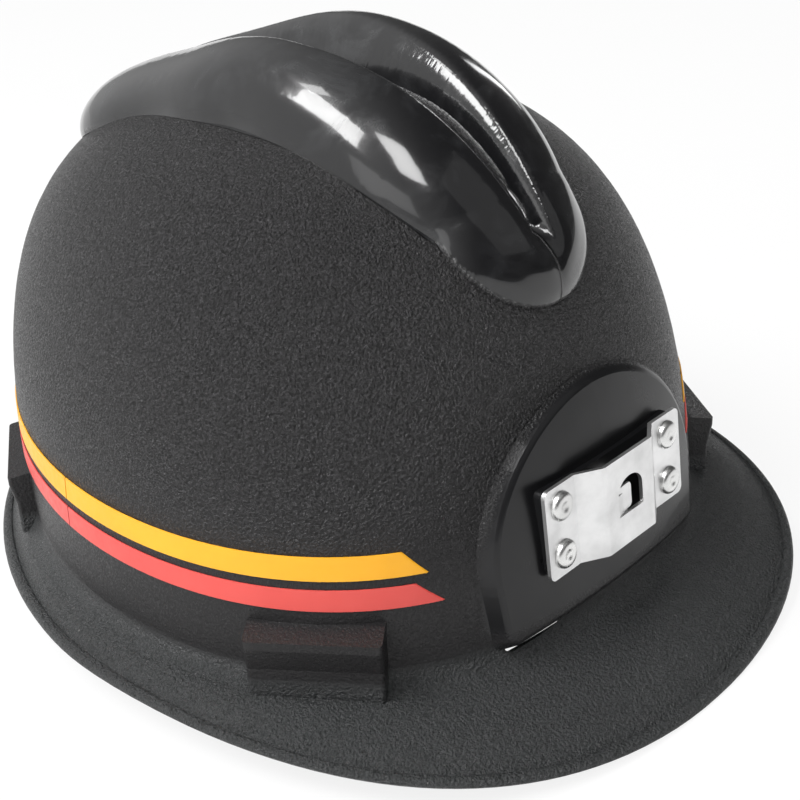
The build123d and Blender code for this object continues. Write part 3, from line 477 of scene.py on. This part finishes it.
class Relief:
    """Heights of the shell over a plane, in millimetres, on an even grid"""

    def __init__(self, origin, rise, out, width, low, high, step):
        self.origin, self.rise, self.out = Vector(origin), Vector(rise), Vector(out)
        self.u = np.arange(-width, width + step / 2, step)
        self.v = np.arange(low, high + step / 2, step)
        self.step = step
        self.height = np.array([[self.cast(u, v) for u in self.u] for v in self.v])

    def point(self, u, v, height):
        return self.origin + Vector((u, 0, 0)) + self.rise * v + self.out * height

    def cast(self, u, v):
        start = self.point(u, v, RAY_START)
        place = shell_tree.ray_cast(start * MM, -self.out)[0]
        return RAY_START - (place / MM - start).length if place else -RAY_START

    def skin(self, name, heights):
        """Closed piece between new heights and the shell, wherever they stand above it"""
        raised = heights - self.height > SKIN_LEAST
        cells = np.zeros(raised.shape, bool)
        for i in (0, 1):
            for j in (0, 1):
                cells[: -1, : -1] |= raised[i : i + raised.shape[0] - 1, j : j + raised.shape[1] - 1]
        lifted = heights - SKIN_LEAST
        bm = bmesh.new()
        fronts, backs = {}, {}

        def corner(i, j):
            if (i, j) not in fronts:
                u, v = self.u[j], self.v[i]
                fronts[i, j] = bm.verts.new(self.point(u, v, lifted[i, j]) * MM)
                backs[i, j] = bm.verts.new(self.point(u, v, self.height[i, j] - SKIN_DEPTH) * MM)
            return i, j

        filled = {(int(i), int(j)) for i, j in np.argwhere(cells)}
        for i, j in sorted(filled):
            ring = [corner(i, j), corner(i, j + 1), corner(i + 1, j + 1), corner(i + 1, j)]
            bm.faces.new([fronts[k] for k in ring])
            bm.faces.new([backs[k] for k in reversed(ring)])
            beside = ((i - 1, j), (i, j + 1), (i + 1, j), (i, j - 1))
            for k, other in enumerate(beside):
                if other not in filled:
                    a, b = ring[k], ring[(k + 1) % len(ring)]
                    bm.faces.new((fronts[b], fronts[a], backs[a], backs[b]))
                    bm.edges.get((fronts[a], fronts[b])).smooth = False
        bmesh.ops.recalc_face_normals(bm, faces=bm.faces)
        mesh = bpy.data.meshes.new(name)
        bm.to_mesh(mesh)
        bm.free()
        mesh.shade_smooth()
        mesh.materials.append(NODE_FINISH["shell"])
        piece = bpy.data.objects.new(name, mesh)
        bpy.context.scene.collection.objects.link(piece)
        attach(piece, "shell")
        return piece


def eased(values, low, high):
    """Smooth step from 0 at low to 1 at high"""
    share = np.clip((values - low) / (high - low), 0, 1)
    return share * share * (3 - 2 * share)


def softened(field, times):
    """The field with its small steps evened out"""
    for _ in range(times):
        wide = np.pad(field, 1, mode="edge")
        field = (wide[:-2, 1:-1] + wide[2:, 1:-1] + wide[1:-1, :-2] + wide[1:-1, 2:] + 4 * field) / 8
    return field


def crest_nose():
    """Blunt nose that joins both lobes where the valley runs out above the brow"""
    relief = Relief(NOSE_TIP, NOSE_RISE, NOSE_OUT, NOSE_WIDTH, NOSE_LOW, NOSE_HIGH, NOSE_STEP)
    u, v = np.meshgrid(relief.u, relief.v)
    along = np.minimum((v - NOSE_CENTRE) / NOSE_LENGTH, 0)
    radius = np.sqrt((u / NOSE_HALF) ** 2 + along**2)

    # The dome under the nose, as a smooth surface through the bare shell on both its sides
    bare = (radius > NOSE_BARE) & (u != 0)
    terms = np.stack([np.ones_like(u), v, v * v, u * u, u * u * v, u**4], -1)
    weights = np.linalg.lstsq(terms[bare], relief.height[bare], rcond=None)[0]
    dome = terms @ weights
    cap = NOSE_HEIGHT * np.sqrt(np.clip(1 - radius**NOSE_ROUND, 0, 1))
    valley = eased(v, *NOSE_VALLEY_RISE) * (1 - eased(np.abs(u), *NOSE_VALLEY_HALF))
    cap = cap * (1 - valley) * (1 - eased(v, *NOSE_TOP_FADE))

    # The higher of nose and shell, with a soft hollow where they meet, and its creases evened out
    target = np.where(cap > 0, dome + cap, relief.height)
    gap = np.clip(NOSE_SOFT - np.abs(target - relief.height), 0, None) * (cap > 0)
    joined = np.maximum(target, relief.height) + gap**2 / (4 * NOSE_SOFT) * eased(cap, *NOSE_RISING)
    filled = np.maximum(softened(joined, NOSE_FILLED), joined)
    joined = joined + (filled - joined) * eased(cap, *NOSE_RISING)
    share = eased(joined - relief.height, *NOSE_RAISED)
    joined = joined * (1 - share) + np.maximum(softened(joined, NOSE_EVENED), relief.height) * share
    relief.skin("crest_nose", joined)


crest_nose()

# Latch tongue in the bracket's window, in millimetres from the bracket's middle
SEAT_Z = 53.2
BRACKET_TILT = 6.1
BRACKET_HALF_HEIGHT = 13.55
BRACKET_FACE = 6.0
LATCH_LEFT = -5.6
LATCH_RIGHT = 1.5
LATCH_LOW = -3.6
LATCH_HIGH = 4.2
LATCH_SHEET = 0.5
LATCH_DROP = 0.55
LATCH_CORNER = 1.4
LATCH_CORNER_STEP = 15
LATCH_BEVEL = 0.12
LATCH_LEAN = 0.05


def latch_tongue():
    """Sprung tongue that shows in the bracket's window, a little below the bracket's face"""
    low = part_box("lamp_bracket")[0] / MM
    tilt = math.radians(BRACKET_TILT)
    out = Vector((0, -math.cos(tilt), math.sin(tilt)))
    rise = Vector((0, math.sin(tilt), math.cos(tilt)))
    lean_back, lean_up = (v * math.sin(tilt) for v in (BRACKET_HALF_HEIGHT, BRACKET_FACE))
    middle = Vector((0, low.y + lean_back, SEAT_Z + lean_up))
    face = middle - out * LATCH_DROP
    outline = []
    for cx, cz, start in (
        (LATCH_RIGHT - LATCH_CORNER, LATCH_HIGH - LATCH_CORNER, 0),
        (LATCH_LEFT, LATCH_HIGH, None),
        (LATCH_LEFT, LATCH_LOW, None),
        (LATCH_RIGHT - LATCH_CORNER, LATCH_LOW + LATCH_CORNER, 270),
    ):
        if start is None:
            outline.append((cx, cz))
            continue
        for turn in range(start, start + 91, LATCH_CORNER_STEP):
            turn = math.radians(turn)
            outline.append((cx + LATCH_CORNER * math.cos(turn), cz + LATCH_CORNER * math.sin(turn)))
    mesh = bpy.data.meshes.new("latch_tongue")
    bm = bmesh.new()
    rings = []
    for depth, shrink in ((LATCH_SHEET, 0), (LATCH_BEVEL, 0), (0, LATCH_BEVEL)):
        ring = []
        for x, z in outline:
            x = x - shrink if x > 0 else x + shrink
            z = z - shrink if z > 0 else z + shrink
            lean = LATCH_LEAN * (x - LATCH_LEFT)
            ring.append(bm.verts.new((face + Vector((x, 0, 0)) + rise * z - out * (depth + lean)) * MM))
        rings.append(ring)
    for a, b in zip(rings, rings[1:]):
        for k in range(len(a)):
            j = (k + 1) % len(a)
            bm.faces.new((a[k], a[j], b[j], b[k]))
    bm.faces.new(rings[-1])
    bm.faces.new(list(reversed(rings[0])))
    bmesh.ops.recalc_face_normals(bm, faces=bm.faces)
    bm.to_mesh(mesh)
    bm.free()
    mesh.materials.append(NODE_FINISH["lamp_bracket"])
    piece = bpy.data.objects.new("latch_tongue", mesh)
    bpy.context.scene.collection.objects.link(piece)
    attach(piece, "shell")


latch_tongue()

# Suspension in millimetres: webbing, pads and flexing tails in the places of their solids. Keys
# are given by their place and outward direction, ovals by the shares of their control points.
FRONT_KEY = (Vector((83.8577, -70.5911)), Vector((0.810081, -0.586318)))
REAR_KEY = (Vector((75.2018, 71.3901)), Vector((0.817502, 0.575925)))
STRAP_INSIDE = 9.2
STRAP_WIDTH = 19.4
STRAP_THICKNESS = 1.2
STRAP_MIDDLE = 0.7
STRAP_FOOT_Z = 22.5
STRAP_RISE_Z = 30.0
STRAP_TOP_Z = 114.0
STRAP_CROSS = 3.0
STRAP_SHARES = (0.62, 0.58)
STRAP_RINGS = 120
STRAP_SECTION = [
    (-1, -0.3),
    (-1, 0.3),
    (-0.97, 0.5),
    (0.97, 0.5),
    (1, 0.3),
    (1, -0.3),
    (0.97, -0.5),
    (-0.97, -0.5),
]
STRAP_CURVE_STEPS = 40
BAND_SIDE = 83.0
BAND_FRONT = 88.1
BAND_AXIS_Y = -10.4
BAND_FRONT_SHARES = (0.51, 0.73)
BAND_END_Y = 20.0
BAND_MIDDLE_Z = 30.0
BAND_CURVE_STEPS = 60
BROW_PAD_INSET = 2.15
BROW_PAD_HEIGHT = 32.0
BROW_PAD_END_Y = -26.0
BROW_PAD_EDGE = 1.3
BROW_PAD_CROWN = 1.7
BROW_PAD_RINGS = 260
BROW_PAD_ROWS = 18
BROW_PAD_ROUND = 2.6
BROW_PAD_HEM_SHARES = (1.6, 0.35)
BROW_PAD_BACK_SHARE = 0.995
SEWN_PITCH = 26.0
SEWN_SHARES = (0.55, 0.45)
NAPE_CORNER = 6.0
NAPE_GRID = (56, 24)
NAPE_ROUND = 3
NAPE_RISE = 2.2
NAPE_CROWN_SHARES = (0.3, 0.68)
NAPE_SEAM = 1.6
NAPE_SEAM_SHARE = 0.28
NAPE_BACK = 0.4
TAIL_THICKNESS = 1.8
TAIL_SHARES = (0.20, 0.12)
TAIL_RINGS = 60
TAIL_NARROWS = (0.35, 0.5)
RACK_OUTER = 42.381
RACK_Y = 88.0
RACK_THICKNESS = 2.4
RACK_MIDDLE = 10.15
RACK_HEIGHT = 4.0
BAND_HEIGHT = 28.0


def bezier(points, t):
    """Point of a cubic Bezier curve with these four control points"""
    s = 1 - t
    a, b, c, d = points
    return a * s**3 + b * (3 * s * s * t) + c * (3 * s * t * t) + d * t**3


def quarter(side, length, shares):
    """Control points of a quarter oval, from its side end to its front or back end"""
    side_share, end_share = shares
    return [
        Vector((side, 0)),
        Vector((side, side_share * length)),
        Vector((end_share * side, length)),
        Vector((0, length)),
    ]


def even(points, count):
    """The same number of points at equal steps along a polyline"""
    steps = [0.0]
    for a, b in zip(points, points[1:]):
        steps.append(steps[-1] + (b - a).length)
    found, i = [], 0
    for k in range(count):
        goal = steps[-1] * k / (count - 1)
        while i < len(steps) - 2 and steps[i + 1] < goal:
            i += 1
        share = (goal - steps[i]) / max(steps[i + 1] - steps[i], 1e-9)
        found.append(points[i].lerp(points[i + 1], min(share, 1)))
    return found


def sweep(name, rings, material, body, node):
    """Closed mesh through rings of points given in millimetres, with UVs in metres along and round it"""
    mesh = bpy.data.meshes.new(name)
    bm = bmesh.new()
    layer = bm.loops.layers.uv.new("cloth")
    verts = [[bm.verts.new(p * MM) for p in ring] for ring in rings]
    along, centre = [0.0], [sum(ring, Vector((0, 0, 0))) / len(ring) for ring in rings]
    for a, b in zip(centre, centre[1:]):
        along.append(along[-1] + (b - a).length * MM)
    size = len(rings[0])
    around = [0.0]
    for j in range(size):
        around.append(around[-1] + (rings[0][(j + 1) % size] - rings[0][j]).length * MM)
    for i in range(len(rings) - 1):
        for j in range(size):
            k = (j + 1) % size
            face = bm.faces.new((verts[i][j], verts[i][k], verts[i + 1][k], verts[i + 1][j]))
            for loop, uv in zip(face.loops, ((i, j), (i, j + 1), (i + 1, j + 1), (i + 1, j))):
                loop[layer].uv = (along[uv[0]], around[uv[1]])
    bm.faces.new(verts[0])
    bm.faces.new(list(reversed(verts[-1])))
    bmesh.ops.recalc_face_normals(bm, faces=bm.faces)
    bm.to_mesh(mesh)
    bm.free()
    mesh.shade_smooth()
    mesh.materials.append(material)
    piece = bpy.data.objects.new(name, mesh)
    bpy.context.scene.collection.objects.link(piece)
    if body:
        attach(piece, body)
    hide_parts(node)
    return piece


# Weave and knit: pitches and depths in metres
RIB_PITCH = 0.0011
PICK_PITCH = 0.0009
LOOP_WIDTH = 0.0012
LOOP_HEIGHT = 0.0009
LOOP_SWAY = 0.0002
WEAVE_DEPTH = 0.00018
KNIT_DEPTH = 0.0002


def webbing_material():
    """Woven polyester: ribs along the strap, crossed by fine picks, and a plain selvedge"""
    n = Nodes("webbing")
    u, v, _ = n.split(n.tree.nodes["Texture Coordinate"].outputs["UV"])
    ribs = n.math("SINE", n.math("MULTIPLY", v, 2 * math.pi / RIB_PITCH))
    step = n.math("MULTIPLY", n.math("SIGN", ribs), 0.25)
    picks = n.math("ADD", n.math("DIVIDE", u, PICK_PITCH), step)
    picks = n.math("SINE", n.math("MULTIPLY", picks, 2 * math.pi))
    weave = n.math("ADD", n.math("MULTIPLY", ribs, 0.5), n.math("MULTIPLY", picks, 0.5))
    fuzz = n.noise(1500, 3, 0.6)
    tone = n.math("ADD", n.ramp(weave, -1, 1, 0.0, 0.7), n.math("MULTIPLY", fuzz, 0.3))
    n.set(
        Base_Color=n.mix(tone, (0.010, 0.010, 0.012, 1), (0.050, 0.050, 0.056, 1)),
        Roughness=n.ramp(fuzz, 0.3, 0.7, 0.7, 0.85),
        Normal=n.bump(weave, WEAVE_DEPTH, 0.8),
    )
    n.shader.inputs["Sheen Weight"].default_value = 0.3
    return n.material


def knit_material():
    """Knitted cover over foam, with fine loops and a little nap"""
    n = Nodes("pad_fabric")
    u, v, _ = n.split(n.tree.nodes["Texture Coordinate"].outputs["UV"])
    loops_u = n.math("SINE", n.math("MULTIPLY", u, 2 * math.pi / LOOP_WIDTH))
    loops_v = n.math("ADD", v, n.math("MULTIPLY", loops_u, LOOP_SWAY))
    loops_v = n.math("ABSOLUTE", n.math("SINE", n.math("MULTIPLY", loops_v, math.pi / LOOP_HEIGHT)))
    fuzz = n.noise(1800, 3, 0.6)
    knit = n.math("ADD", n.math("MULTIPLY", loops_v, 0.7), n.math("MULTIPLY", fuzz, 0.3))
    n.set(
        Base_Color=n.mix(knit, (0.011, 0.011, 0.013, 1), (0.042, 0.042, 0.047, 1)),
        Roughness=n.ramp(fuzz, 0.3, 0.7, 0.82, 0.95),
        Normal=n.bump(knit, KNIT_DEPTH, 0.7),
    )
    n.shader.inputs["Sheen Weight"].default_value = 0.5
    return n.material


webbing = webbing_material()
knit = knit_material()


def strap_end(key, side):
    point, away = key
    inside = point - away * STRAP_INSIDE
    return Vector((side * inside.x, inside.y))


def crown_strap(name, front_side, lift):
    """Webbing from one front key over the head to the opposite rear key"""
    start, end = strap_end(FRONT_KEY, front_side), strap_end(REAR_KEY, -front_side)
    middle, along = (start + end) / 2, (end - start).normalized()
    half = (end - start).length / 2 - STRAP_MIDDLE
    rise = STRAP_TOP_Z - STRAP_RISE_Z + lift - STRAP_MIDDLE
    path = [Vector((-half, STRAP_FOOT_Z)), Vector((-half, STRAP_RISE_Z))]
    for side in (-1, 1):
        oval = quarter(side * half, rise, STRAP_SHARES)
        points = [bezier(oval, i / STRAP_CURVE_STEPS) for i in range(STRAP_CURVE_STEPS + 1)]
        if side > 0:
            points.reverse()
        path += [p + Vector((0, STRAP_RISE_Z)) for p in points[1:]]
    path.append(Vector((half, STRAP_FOOT_Z)))
    path = even(path, STRAP_RINGS)
    across = Vector((-along.y, along.x, 0))
    section = [(x * STRAP_WIDTH / 2, y * STRAP_THICKNESS) for x, y in STRAP_SECTION]
    rings = []
    for i, p in enumerate(path):
        ahead = (path[min(i + 1, len(path) - 1)] - path[max(i - 1, 0)]).normalized()
        away = Vector((-ahead.y, ahead.x))
        ring = []
        for x, y in section:
            flat = p + away * y
            place = Vector((middle.x + along.x * flat.x, middle.y + along.y * flat.x, flat.y))
            ring.append(place + across * x)
        rings.append(ring)
    return sweep(name + "_webbing", rings, webbing, "harness", name)


crown_strap("crown_strap_lower", 1, 0)
crown_strap("crown_strap_upper", -1, STRAP_CROSS)


def band_path(inset):
    """Points of the headband's front, from its left end to its right, inside a margin"""
    points = []
    for side in (1, -1):
        oval = quarter(side * (BAND_SIDE - inset), -(BAND_FRONT - inset), BAND_FRONT_SHARES)
        steps = range(BAND_CURVE_STEPS + 1)
        half = [bezier(oval, i / BAND_CURVE_STEPS) + Vector((0, BAND_AXIS_Y)) for i in steps]
        points += half if side > 0 else list(reversed(half))[1:]
    return [p for p in points if p.y < BROW_PAD_END_Y]


def brow_pad():
    """Foam band, sewn in channels, crowned towards the forehead and thin at its hems"""
    path = even(band_path(BROW_PAD_INSET), BROW_PAD_RINGS)
    rows = BROW_PAD_ROWS
    rings = []
    travelled = 0.0
    for i, p in enumerate(path):
        if i:
            travelled += (p - path[i - 1]).length
        ahead = (path[min(i + 1, len(path) - 1)] - path[max(i - 1, 0)]).normalized()
        inward = Vector((ahead.y, -ahead.x, 0))
        if inward.xy.dot(Vector((0, BAND_AXIS_Y)) - p) < 0:
            inward = -inward
        seam, swell = SEWN_SHARES
        channel = seam + swell * abs(math.sin(math.pi * travelled / SEWN_PITCH)) ** 0.5
        ring = []
        for j in range(rows + 1):
            v = (j / rows - 0.5) * 2
            crown = max(0.0, 1 - abs(v) ** BROW_PAD_ROUND) ** 0.5
            hem = BROW_PAD_HEM_SHARES[0] * crown + BROW_PAD_HEM_SHARES[1]
            depth = BROW_PAD_EDGE * min(1, hem) + BROW_PAD_CROWN * crown * channel
            ring.append(Vector((p.x, p.y, BAND_MIDDLE_Z + v * BROW_PAD_HEIGHT / 2)) + inward * depth)
        for j in range(rows - 1, 0, -1):
            v = (j / rows - 0.5) * 2
            back = v * BROW_PAD_HEIGHT / 2 * BROW_PAD_BACK_SHARE
            ring.append(Vector((p.x, p.y, BAND_MIDDLE_Z + back)))
        rings.append(ring)
    pad = sweep("brow_pad_cover", rings, knit, "harness", "brow_pad")


brow_pad()


def nape_pad():
    """Small foam pad with rounded corners, crowned towards the nape"""
    low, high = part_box("nape_pad")
    width, height = high.x - low.x, high.z - low.z
    centre_z = (low.z + high.z) / 2
    corner = NAPE_CORNER * MM
    bm = bmesh.new()
    layer = bm.loops.layers.uv.new("cloth")
    columns, rows = NAPE_GRID
    grids = []
    for face_side in (0, 1):
        grid = {}
        for i in range(columns + 1):
            for j in range(rows + 1):
                u, v = i / columns * 2 - 1, j / rows * 2 - 1
                x, z = u * width / 2, v * height / 2
                over_x, over_z = abs(x) - (width / 2 - corner), abs(z) - (height / 2 - corner)
                if over_x > 0 and over_z > 0:
                    k = max(over_x, over_z) / math.hypot(over_x, over_z)
                    x = math.copysign(width / 2 - corner + over_x * k, x)
                    z = math.copysign(height / 2 - corner + over_z * k, z)
                edge = min(1.0, (1 - max(abs(u) ** NAPE_ROUND, abs(v) ** NAPE_ROUND)) * NAPE_RISE)
                crown = max(0.0, edge) ** 0.5
                seam = 1 - NAPE_SEAM_SHARE * math.exp(-((x / (NAPE_SEAM * MM)) ** 2))
                hem, swell = NAPE_CROWN_SHARES
                y = high.y - (high.y - low.y) * (hem + swell * crown * seam)
                if face_side:
                    y = high.y - NAPE_BACK * MM
                grid[i, j] = bm.verts.new((x, y, centre_z + z))
        grids.append(grid)
    for side, grid in enumerate(grids):
        for i in range(columns):
            for j in range(rows):
                corners = [grid[i, j], grid[i + 1, j], grid[i + 1, j + 1], grid[i, j + 1]]
                face = bm.faces.new(corners if side == 0 else list(reversed(corners)))
                for loop in face.loops:
                    loop[layer].uv = (loop.vert.co.x, loop.vert.co.z)
    rim = (
        [(i, 0) for i in range(columns)]
        + [(columns, j) for j in range(rows)]
        + [(i, rows) for i in range(columns, 0, -1)]
        + [(0, j) for j in range(rows, 0, -1)]
    )
    for a, b in zip(rim, rim[1:] + rim[:1]):
        bm.faces.new((grids[0][b], grids[0][a], grids[1][a], grids[1][b]))
    bmesh.ops.recalc_face_normals(bm, faces=bm.faces)
    mesh = bpy.data.meshes.new("nape_pad_cover")
    bm.to_mesh(mesh)
    bm.free()
    mesh.shade_smooth()
    mesh.materials.append(knit)
    pad = bpy.data.objects.new("nape_pad_cover", mesh)
    bpy.context.scene.collection.objects.link(pad)
    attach(pad, "nape_unit")
    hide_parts("nape_pad")


nape_pad()


def band_tail(name, side, lift):
    """Flexible strip from the headband's end to its rack, narrowing to the rack's height"""
    depth = RACK_Y + RACK_THICKNESS - BAND_END_Y
    oval = quarter(side * (BAND_SIDE - RACK_OUTER), depth, TAIL_SHARES)
    outer = [bezier(oval, i / BAND_CURVE_STEPS) for i in range(BAND_CURVE_STEPS + 1)]
    outer = even([p + Vector((side * RACK_OUTER, BAND_END_Y)) for p in outer], TAIL_RINGS)
    rings = []
    for i, p in enumerate(outer):
        ahead = (outer[min(i + 1, len(outer) - 1)] - outer[max(i - 1, 0)]).normalized()
        inward = Vector((-side * ahead.y, side * ahead.x))
        if inward.dot(Vector((0, 0)) - p) < 0:
            inward = -inward
        share = max(0.0, min(1.0, (i / (TAIL_RINGS - 1) - TAIL_NARROWS[0]) / TAIL_NARROWS[1]))
        share = share * share * (3 - 2 * share)
        middle = BAND_MIDDLE_Z + lift * RACK_MIDDLE * share
        half = (BAND_HEIGHT * (1 - share) + RACK_HEIGHT * share) / 2
        thick = TAIL_THICKNESS * (1 - share) + RACK_THICKNESS * share
        q = p + inward * thick
        rings.append(
            [
                Vector((p.x, p.y, middle - half)),
                Vector((p.x, p.y, middle + half)),
                Vector((q.x, q.y, middle + half)),
                Vector((q.x, q.y, middle - half)),
            ]
        )
    tail = sweep(name + "_strip", rings, dark_plastic, None, name)
    tail.data.polygons.foreach_set("use_smooth", [False] * len(tail.data.polygons))
    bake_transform(tail)


band_tail("band_arm_left", 1, -1)
band_tail("band_arm_right", -1, 1)

# Stage: floor and white surroundings
FLOOR_SIZE = 80.0
FLOOR_TONES = ((0.79, 0.79, 0.79, 1), (0.82, 0.82, 0.82, 1))
FLOOR_WHITE_SHARE = 0.85
WORLD_BRIGHT_SIDE = (140, 25)
WORLD_RANGE = (-0.2, 1.0, 0.07, 0.95)


def seen_directly(tree):
    """1 for rays from the camera, a mirror or glass, and 0 for the light that the scene gives"""
    path = tree.nodes.new("ShaderNodeLightPath")
    seen = path.outputs["Is Camera Ray"]
    for ray in ("Is Glossy Ray", "Is Transmission Ray"):
        either = tree.nodes.new("ShaderNodeMath")
        either.operation = "MAXIMUM"
        tree.links.new(seen, either.inputs[0])
        tree.links.new(path.outputs[ray], either.inputs[1])
        seen = either.outputs[0]
    return seen


def make_floor():
    """Pale floor that looks nearly white and keeps the helmet's shadow"""
    mesh = bpy.data.meshes.new("floor")
    half = FLOOR_SIZE / 2
    corners = [(-half, -half, 0), (half, -half, 0), (half, half, 0), (-half, half, 0)]
    mesh.from_pydata(corners, [], [(0, 1, 2, 3)])
    floor = bpy.data.objects.new("floor", mesh)
    bpy.context.scene.collection.objects.link(floor)
    n = Nodes("floor_white")
    n.set(Base_Color=n.mix(n.noise(8, 2, 0.5), *FLOOR_TONES), Roughness=0.7, Specular_IOR_Level=0.2)
    white = n.add("ShaderNodeEmission")
    mix = n.add("ShaderNodeMixShader")
    n.put(mix.inputs[0], n.math("MULTIPLY", seen_directly(n.tree), FLOOR_WHITE_SHARE))
    n.put(mix.inputs[1], n.shader.outputs[0])
    n.put(mix.inputs[2], white.outputs[0])
    n.put(n.tree.nodes["Material Output"].inputs["Surface"], mix.outputs[0])
    mesh.materials.append(n.material)


def make_world():
    """Soft surroundings, brighter behind the wearer's right and dimmer towards the front"""
    world = bpy.data.worlds.new("studio")
    bpy.context.scene.world = world
    world.use_nodes = True
    tree = world.node_tree
    azimuth, elevation = (math.radians(v) for v in WORLD_BRIGHT_SIDE)
    level = math.cos(elevation)
    place = tree.nodes.new("ShaderNodeTexCoord")
    lean = tree.nodes.new("ShaderNodeVectorMath")
    lean.operation = "DOT_PRODUCT"
    lean.inputs[1].default_value = (level * math.cos(azimuth), level * math.sin(azimuth), math.sin(elevation))
    strength = tree.nodes.new("ShaderNodeMapRange")
    strength.interpolation_type = "SMOOTHSTEP"
    for name, value in zip(("From Min", "From Max", "To Min", "To Max"), WORLD_RANGE):
        strength.inputs[name].default_value = value
    tree.links.new(place.outputs["Generated"], lean.inputs[0])
    tree.links.new(lean.outputs["Value"], strength.inputs["Value"])
    background = tree.nodes["Background"]
    background.inputs["Color"].default_value = (1, 1, 1, 1)
    tree.links.new(strength.outputs[0], background.inputs["Strength"])


# Lamps: azimuth, elevation, distance, width, height and watts
AIM = (0, -0.01, 0.09)
SOFTBOXES = {
    "softbox_broad": (160, 50, 1.7, 0.80, 0.66, 26.0),
    "softbox_patch": (134, 64, 1.6, 0.24, 0.34, 2.6),
    "softbox_window": (-138, 57, 1.5, 0.44, 0.62, 9.5),
    "softbox_front": (-70, 40, 2.6, 2.00, 1.60, 2.8),
    "softbox_left": (-172, 18, 2.2, 1.30, 0.80, 3.5),
    "softbox_side": (18, 15, 1.8, 0.16, 0.60, 1.2),
}


def softbox(name, azimuth, elevation, distance, width, height, watts):
    data = bpy.data.lights.new(name, "AREA")
    data.shape = "RECTANGLE"
    data.size, data.size_y = width, height
    data.energy = watts
    light = bpy.data.objects.new(name, data)
    bpy.context.scene.collection.objects.link(light)
    azimuth, elevation = math.radians(azimuth), math.radians(elevation)
    level = math.cos(elevation)
    away = Vector((level * math.cos(azimuth), level * math.sin(azimuth), math.sin(elevation)))
    light.location = Vector(AIM) + distance * away
    light.rotation_mode = "QUATERNION"
    light.rotation_quaternion = away.to_track_quat("Z", "Y")


make_floor()
make_world()
for name, values in SOFTBOXES.items():
    softbox(name, *values)
bpy.context.scene.view_settings.view_transform = "Standard"
